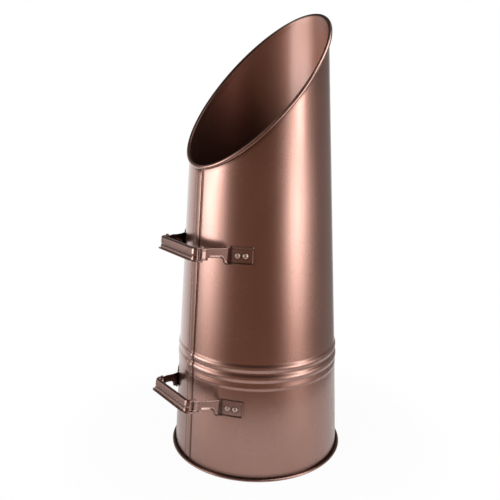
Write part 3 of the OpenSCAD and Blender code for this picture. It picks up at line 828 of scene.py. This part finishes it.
def lug_shade(mids, t, arm_shade):
    """Painted shade on the outer layer: round the rivet heads, in the panel's step and in the fold."""
    rows = []
    for kind, s, z, _ in mids:
        if kind == "plate":
            near = np.minimum(*[np.hypot(s - PLATE_L / 2 - d * RIVET_PITCH / 2, z) for d in (-1, 1)])
            heads = np.exp(-(np.clip(near - RIVET_HEAD_D / 2, 0, None) / 0.7) ** 2)
            inward = np.minimum(PLATE_L - s, LUG_H / 2 - np.abs(z)) - BORDER_W
            step = np.exp(-((inward - 0.3) / 0.5) ** 2)
            fold = np.exp(-(np.clip(s - 2.5, 0, None) / 2.6) ** 2)
            rows.append(np.maximum.reduce([heads, 0.8 * step, 0.95 * fold * np.ones_like(z)]))
        else:
            rows.append(np.full_like(t, FOLD_SHADE if kind == "fold" else arm_shade))
    return np.array(rows)


def closed_sheet(outer, inner, shade_map):
    """Joins two layers of a sheet into a closed band with softened edges: rows along it, a ring round it."""
    n = outer.shape[1]

    def pull(points, toward):
        d = toward - points
        d /= np.maximum(np.linalg.norm(d, axis=-1, keepdims=True), 1e-9)
        return (points + d * CHAMFER)[:, None]

    o, i = outer, inner
    ring_points = np.concatenate([
        pull(o[:, 0], o[:, 1]), o[:, 1:-1], pull(o[:, -1], o[:, -2]),
        pull(o[:, -1], i[:, -1]), pull(i[:, -1], o[:, -1]),
        pull(i[:, -1], i[:, -2]), i[:, n - 2:0:-1], pull(i[:, 0], i[:, 1]),
        pull(i[:, 0], o[:, 0]), pull(o[:, 0], i[:, 0])
    ], 1)
    # Edges lightened by wear and painted highlight; the inner layer in painted shade, the outer layer in the
    # given painted shade.
    wear_and_highlight = np.zeros(ring_points.shape[:2])
    wear_and_highlight[:, [0, n - 1, n, -1]] = 0.5
    painted_shade = np.full_like(wear_and_highlight, 0.95)
    painted_shade[:, :n] = shade_map
    painted_shade[:, [n, -1]] = 0.2
    return tube(ring_points, wear_and_highlight, painted_shade)


def arm_flare(handle, side):
    """The arm's lower edge, flared outward along the waist in a smooth curve to a rounded free edge."""
    h, turn = LUG_T / 2 - INSET / 2, np.radians(np.linspace(0, FLARE_TURN, 8))
    middle = FLARE_R * np.stack([-np.sin(turn), 1 - np.cos(turn)], -1)
    run = np.linspace(0, FLARE_RUN, 4)[1:, None] * np.array([-math.cos(turn[-1]), math.sin(turn[-1])])
    middle = np.vstack([middle, middle[-1] + run])
    middle[:, 0] += FLARE_TIP - middle[-1, 0]
    along = np.gradient(middle, axis=0)
    along /= np.linalg.norm(along, axis=1, keepdims=True)
    across = np.stack([-along[:, 1], along[:, 0]], -1) * h
    tip = math.atan2(across[-1, 1], across[-1, 0]) + np.linspace(0, math.pi, 9)[1:-1]
    low_side, high_side = middle + across, middle - across
    cap = middle[-1] + h * np.stack([np.cos(tip), np.sin(tip)], -1)
    root = ARM_LIP + FLARE_ROOT
    n, y = np.vstack([[(root, -h)], low_side, cap, high_side[::-1], [(root, h)]]).T
    out = [handle.arm(p[0] + v[0] * n, y, p[1] + v[1] * n) for p, v in zip(WAIST_POINTS, WAIST_NORMALS)]
    # Painted shade under the flare; its outer part lightened by wear and painted highlight.
    under = np.arange(len(n)) < 1 + len(low_side) + len(cap) // 2
    wear_and_highlight = np.where(n < ARM_LIP - 0.9, 1.0, 0.2)
    return tube(handle.seat(out, side), wear_and_highlight, np.where(under, 0.95, 0.0))


def eye_strip(handle, side, end):
    """One strip at the arm's end, curled round the pin."""
    top = end * ARM_END_H / 2
    low, high = min(top, top - end * EYE_H), max(top, top - end * EYE_H)
    mid_r = EYE_R - EYE_T / 2
    middle = PIN_Y + mid_r
    path = [(NOTCH_X - 1.2, middle, 0.0, 1.0), (NOTCH_X, middle, 0.0, 1.0)]
    path += [(x, middle, 0.0, 1.0) for x in np.linspace(NOTCH_X + 1.5, PIN_X - 1.2, 3)]
    for a in np.radians(np.linspace(90, -205, 26)):
        path.append((PIN_X + mid_r * math.cos(a), PIN_Y + mid_r * math.sin(a), math.cos(a), math.sin(a)))
    half, c = EYE_T / 2, CHAMFER
    section = [(half - c, low), (half, low + c), (half, high - c), (half - c, high),
               (c - half, high), (-half, high - c), (-half, low + c), (c - half, low)]
    rows = [[handle.arm(x + nx * o, y + ny * o, z) for o, z in section] for x, y, nx, ny in path]
    # Outer faces lightened by wear and painted highlight; inner faces in painted shade.
    outside = np.repeat([1, 0], 4)
    return tube(handle.seat(rows, side), 0.4 * outside, 0.9 * (1 - outside))


def grip_section():
    """The pressed section as a closed outline: x away from the wall, z up."""
    h, t, r = GRIP_H / 2, GRIP_T, GRIP_ROUND
    cy = -h / 4
    inner_end = t / 2 - GRIP_TURN
    deepest = 0.7
    crease = [(2.4, 0.0), (1.4, 0.12), (0.8, 0.42), (0.3, 0.66), (0, deepest)]
    crease += [(-z, d) for z, d in crease[3::-1]]
    outline = [(inner_end + 0.25, h)]
    outline += arc(t / 2 - r, h - r, r, 90, 0, 12).tolist()
    outline += [(t / 2, h * 0.4), (t / 2, h * 0.2)]
    outline += [(t / 2 - d * CREASE_D / deepest, cy + dz) for dz, d in crease]
    outline += [(t / 2, -h * 0.62), (t / 2, -h + t + 0.9)]
    outline += arc(t / 2 + 0.8, -h + t + 0.8, 0.8, 180, 270, 5).tolist()
    outline += arc(GRIP_LIP, -h + t / 2, t / 2, 90, -90, 9).tolist()
    outline += arc(-t / 2 + 0.9, -h + 0.9, 0.9, 270, 180, 6).tolist()
    outline += [(-t / 2, -h * 0.68)]
    outline += [(-t / 2 - d * CREASE_D / deepest, cy + dz) for dz, d in crease[::-1]]
    outline += [(-t / 2, h * 0.3)]
    outline += arc(t / 2 - r, h - r, r - t, 0, 90, 6).tolist()
    outline += [(inner_end + 0.25, h - t), (inner_end, h - t + 0.25), (inner_end, h - 0.25)]
    return np.array(outline)


def make_grip(name, handle):
    """The grip swept round both corners, with an ear on each side above and below for the pin."""
    section = grip_section()
    half_l = GRIP_SPAN / 2 - BEND_L
    middle = REACH - BEND_R
    stations = [(-half_l, -a) for a in np.linspace(TURN, 0, 16)]
    stations += [(y, 0.0) for y in np.linspace(-half_l, half_l, 26)[1:-1]]
    stations += [(half_l, a) for a in np.linspace(0, TURN, 16)]
    x, z = section.T
    r = BEND_R + x
    rows = [handle.plane(middle + r * math.cos(a), y + r * math.sin(a), z) for y, a in stations]
    # Lip, top and corners lightened by wear and painted highlight; painted shade in the crease, on the inner
    # face and on the top flange.
    wear_and_highlight = np.where((x > GRIP_T / 2 + 0.5) | (z / (GRIP_H / 2) > 0.93), 0.5, 0.08)
    corner = np.array([abs(a) > 0.15 for _, a in stations])
    wear_and_highlight = np.maximum(wear_and_highlight[None, :], np.where(corner, 0.4, 0)[:, None])
    front = np.where(x > 0, np.exp(-((z + GRIP_H / 8) / 0.75) ** 2), 0)
    inside = np.where((x < 0) & (np.abs(z) < GRIP_H / 2 - 0.3), 0.8, 0)
    flange = np.where((z > GRIP_H / 2 - GRIP_T - 0.3) & (x < GRIP_T / 2 - GRIP_ROUND + 0.1), 0.85, 0)
    painted_shade = np.maximum.reduce([0.75 * front, inside, flange])
    parts = [tube(handle.seat(rows, 1), wear_and_highlight, painted_shade)]
    for side in (LEFT, RIGHT):
        for low in (-GRIP_H / 2 + 0.1, GRIP_H / 2 - GRIP_T + 0.1):
            parts.append(grip_ear(handle, side, low, half_l))
    make_piece(name + "_grip_skin", name + "_grip", COPPER_FITTING, parts, sharp=35)


def grip_ear(handle, side, low, half_l):
    """A flat ear that runs from the grip's corner to the pin."""
    run = PIN_BACK - BEND_L
    t = GRIP_T - 0.2
    c = EAR_CHAMFER
    tip = (np.array([[PIN_Y, run]]) + arc(0, 0, EAR_R, 0, 180, 25)).tolist()
    outline = np.array([(PIN_Y + EAR_R, -0.4)] + tip + [(PIN_Y - EAR_R, -0.4)])
    middle = np.array([PIN_Y, run / 2])
    ca, sa = math.cos(TURN), math.sin(TURN)

    def level(inset, z):
        d = middle - outline
        d /= np.linalg.norm(d, axis=1, keepdims=True)
        p = outline + d * inset
        r = BEND_R + p[:, 0]
        x = REACH - BEND_R + r * ca - p[:, 1] * sa
        y = half_l + r * sa + p[:, 1] * ca
        return handle.plane(x, y, z)

    rows = [level(c, low), level(0, low + c), level(0, low + t - c), level(c, low + t)]
    return tube(handle.seat(rows, side), 0.3)


def dome_profile(r, h, steps=8):
    """A domed head from its rim to its top."""
    radius = circle_r(2 * r, h)
    a = math.asin(r / radius)
    return [(radius * math.sin(v), radius * math.cos(v) - radius + h) for v in np.linspace(a, 0.04, steps)]


def make_pin(name, handle, side):
    """The pin: a plain shank with a domed head above and below."""
    half = GRIP_H / 2 + PIN_GAP
    upper = [(PIN_D / 2, half), (EAR_R - PIN_EDGE, half), (EAR_R, half + PIN_EDGE)]
    upper += [(r, half + PIN_EDGE + z) for r, z in dome_profile(EAR_R, GRIP_T)[1:]]
    outline = [(r, -z) for r, z in upper[::-1]] + upper
    p = revolve(outline, FASTENER_STEPS)
    points = handle.arm(PIN_X + p[..., 0], PIN_Y + p[..., 1], p[..., 2])
    # Heads lightened by wear and painted highlight; painted shade on the shank.
    head = np.array([abs(z) > half for _, z in outline])[:, None]
    make_piece(name + "_pin_skin", name + "_pin", COPPER_FASTENER,
               [tube(handle.seat(points, side), 0.6 * head, 0.8 * ~head)])


def make_rivets(name, handle, side):
    """Two rivets: domed head on the plate's panel, shank, and flattened end inside the wall."""
    seat = LUG_T - PANEL_D + PLATE_GAP
    r_wall = float(wall_r(handle.z))
    inner_r = r_wall - SHEET
    head_r, tail_r = RIVET_HEAD_D / 2, RIVET_D / 2 + RIVET_TAIL
    sag = inner_r - math.sqrt(inner_r ** 2 - tail_r ** 2) + PLATE_GAP
    tail = -SHEET - sag
    outline = [(tail_r * 0.35, tail - RIVET_TAIL), (tail_r - 0.5, tail - RIVET_TAIL + 0.08),
               (tail_r, tail - RIVET_TAIL / 2), (tail_r - 0.2, tail)]
    outline += [(RIVET_D / 2, tail), (RIVET_D / 2, seat)]
    outline += [(head_r - RIVET_EDGE, seat), (head_r, seat + RIVET_EDGE)]
    outline += [(r, seat + RIVET_EDGE + h * (RIVET_DOME - RIVET_EDGE) / RIVET_DOME)
                for r, h in dome_profile(head_r, RIVET_DOME)[1:]]
    # Domes lightened by wear and painted highlight; painted shade where the head meets the plate.
    wear_and_highlight = np.array([0.75 if v > seat + 0.5 else 0.0 for _, v in outline])[:, None]
    painted_shade = np.array([0.8 if seat - 0.1 < v < seat + 0.15 else 0.0 for _, v in outline])[:, None]
    lean = math.atan(handle.slope)
    across, up, out = np.moveaxis(revolve(outline, FASTENER_STEPS), -1, 0)
    x = r_wall + out * math.cos(lean) - up * math.sin(lean)
    z = handle.z + out * math.sin(lean) + up * math.cos(lean)
    middle = handle.fold_a + math.asin(PLATE_L / 2 / handle.fold_r)
    parts = []
    for i in (0, 1):
        a = middle + (i - 0.5) * 2 * math.asin(RIVET_PITCH / 2 / (r_wall + PLATE_GAP))
        points = np.stack([
            x * math.cos(a) - across * math.sin(a), x * math.sin(a) + across * math.cos(a), z
        ], -1)
        parts.append(tube(handle.seat(points, side), wear_and_highlight, painted_shade))
    make_piece(name + "_rivets_skin", name + "_rivets", COPPER_FASTENER, parts)


def make_handles():
    levels = (("upper", UPPER_Z, UPPER_RISE, UPPER_SHADE), ("lower", LOWER_Z, LOWER_RISE, LOWER_SHADE))
    for level, z, rise, painted_shade in levels:
        handle = Handle(z, rise, painted_shade)
        make_grip(level, handle)
        for word, side in (("left", LEFT), ("right", RIGHT)):
            name = level + "_" + word
            make_lug(name, handle, side)
            make_pin(name, handle, side)
            make_rivets(name, handle, side)


def dress_wire():
    """The wire keeps its CAD solid, closed in the roll, and only gets its material."""
    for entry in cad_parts["rim_wire"].material_slots:
        entry.material = WIRE_STEEL


# ---------------------------------------------------------------- stage and light

FLOOR_RADIUS = 0.30
FLOOR_COLOUR = (0.80, 0.80, 0.80, 1)
FLOOR_NEAR = 0.955        # how much of the floor's colour by the hod is plain white, which leaves its shadow
FLOOR_IN_METAL = 0.3      # and in the metal's reflections


def make_floor():
    """A round white floor: white to the camera, fading at its edge, with the hod's soft shadow."""
    bpy.ops.mesh.primitive_circle_add(vertices=96, radius=FLOOR_RADIUS, fill_type="NGON", location=(0, 0, 0))
    floor = bpy.context.object
    floor.name = "floor"
    material, n = new_material("floor")
    path = n.add("ShaderNodeLightPath").outputs
    diffuse = n.add("ShaderNodeBsdfDiffuse")
    diffuse.inputs["Color"].default_value = FLOOR_COLOUR
    glow = n.add("ShaderNodeEmission")
    glow.inputs["Color"].default_value = (1, 1, 1, 1)
    glow.inputs["Strength"].default_value = 1.0
    seen = n.span(n.length(n.object_point()), 0.5 * FLOOR_RADIUS, 0.98 * FLOOR_RADIUS, FLOOR_NEAR, 1.0)
    eye = n.math("MAXIMUM", path["Is Camera Ray"], path["Is Transmission Ray"])
    share = n.math("ADD", n.times(eye, seen), n.times(path["Is Glossy Ray"], FLOOR_IN_METAL))
    n.surface(n.mix_shader(share, diffuse.outputs[0], glow.outputs[0]))
    floor.data.materials.append(material)


# Azimuth from the camera in degrees, distance from the axis, height, width, tall, power in watts, how much
# higher than the lamp its aim is, and whether metal shows it.
LAMPS = {
    "box_left": (-64, 0.62, 0.47, 0.18, 0.30, 0.56, 0.0, True),
    "box_right": (64, 1.3, 0.85, 0.30, 0.9, 3, 0.0, True),
    "box_high": (85, 0.56, 1.26, 0.70, 0.70, 5.2, -1.06, True),
    "top": (-60, 0.7, 1.6, 1.0, 1.0, 12, -1.6, False),
}


def make_lamp(name, azimuth, distance, height, width, tall, power, tilt, glossy):
    """A soft box that faces a point on the body's axis; azimuth runs to the right."""
    data = bpy.data.lights.new(name, "AREA")
    data.shape = "RECTANGLE"
    data.size = width
    data.size_y = tall
    data.energy = power
    lamp = bpy.data.objects.new(name, data)
    bpy.context.scene.collection.objects.link(lamp)
    a = CAMERA_AZIMUTH + math.radians(azimuth)
    place = Vector((math.sin(a) * distance, -math.cos(a) * distance, height))
    aim = Vector((0, 0, height + tilt))
    lamp.location = place
    lamp.rotation_mode = "QUATERNION"
    lamp.rotation_quaternion = (aim - place).to_track_quat("-Z", "Y")
    lamp.visible_camera = False
    lamp.visible_glossy = glossy


# The studio round the hod, by azimuth from the camera in degrees. ROOM is what stands all round: a dim warm
# room on the camera's side and the white backdrop behind the hod. BOXES are soft boxes on either side, up to
# BOX_PEAK. CEILING and RISE dim the two by the upward part of the direction, from -1 to 1.
DIM = (0.220, 0.132, 0.089)
GREY = (0.26, 0.24, 0.23)
WHITE = (1.0, 1.0, 1.0)
ROOM = [
    (-180, WHITE), (-128, WHITE), (-112, GREY), (-60, DIM), (60, DIM), (112, GREY), (150, GREY), (172, WHITE),
    (180, WHITE)
]
BOXES = [
    (-180, 0), (-118, 0), (-103, 0.5), (-94, 3.4), (-85, 5.0), (-73, 4.4), (-61, 1.9), (-47, 0.30),
    (-34, 0.03), (0, 0), (22, 0.03), (33, 0.35), (43, 1.70), (52, 4.30), (61, 5.0), (70, 3.2), (80, 1.3),
    (91, 0.35), (104, 0), (180, 0)
]
BOX_PEAK, BOX_LEVEL = 5, 8.4
CEILING = [(-1.0, 1), (0.0, 1), (0.10, 0.72), (0.22, 0.25), (0.35, 0.12)]
RISE = [
    (-1.0, 0.0075), (-0.50, 0.012), (-0.38, 0.0235), (-0.30, 0.07), (-0.21, 0.209), (-0.13, 0.49),
    (-0.09, 1.0), (-0.05, 0.62), (0, 0.29), (0.15, 0.23), (0.40, 0.115), (0.65, 0.038)
]


def make_world():
    """White to the camera; the room and the soft boxes for everything else."""
    world = bpy.data.worlds.new("studio")
    bpy.context.scene.world = world
    world.use_nodes = True
    n = Nodes(world.node_tree)
    path = n.add("ShaderNodeLightPath").outputs
    point = n.add("ShaderNodeTexCoord").outputs["Generated"]
    c, k = math.cos(CAMERA_AZIMUTH), math.sin(CAMERA_AZIMUTH)
    right = n.dot(point, (c, k, 0))
    toward = n.dot(point, (k, -c, 0))
    rise = n.math("ADD", n.times(n.dot(point, (0, 0, 1)), 0.5), 0.5)
    turn = n.math("ADD", n.math("DIVIDE", n.math("ARCTAN2", right, toward), 2 * math.pi), 0.5)
    room = n.ramp(turn, [((a + 180) / 360, colour) for a, colour in ROOM])
    boxes = n.ramp(turn, [((a + 180) / 360, (v / BOX_PEAK,) * 3) for a, v in BOXES])

    def light(colour, strength):
        back = n.add("ShaderNodeBackground")
        n.put(back.inputs["Color"], colour)
        back.inputs["Strength"].default_value = strength
        return back.outputs[0]

    both = n.add("ShaderNodeAddShader")
    for socket, colour, table, strength in zip(both.inputs, (room, boxes), (CEILING, RISE), (1.0, BOX_LEVEL)):
        level = n.ramp(rise, [((v + 1) / 2, (share,) * 3) for v, share in table])
        n.put(socket, light(n.mix(1.0, colour, level, "MULTIPLY"), strength))
    seen = n.math("MAXIMUM", path["Is Camera Ray"], path["Is Transmission Ray"])
    n.surface(n.mix_shader(seen, both.outputs[0], light((1, 1, 1, 1), 1.0)), "ShaderNodeOutputWorld")


def make_studio():
    make_world()
    make_floor()
    for name, values in LAMPS.items():
        make_lamp(name, *values)


make_studio()
make_body()
make_base()
make_handles()
dress_wire()

scene = bpy.context.scene
scene.view_settings.view_transform = "Standard"
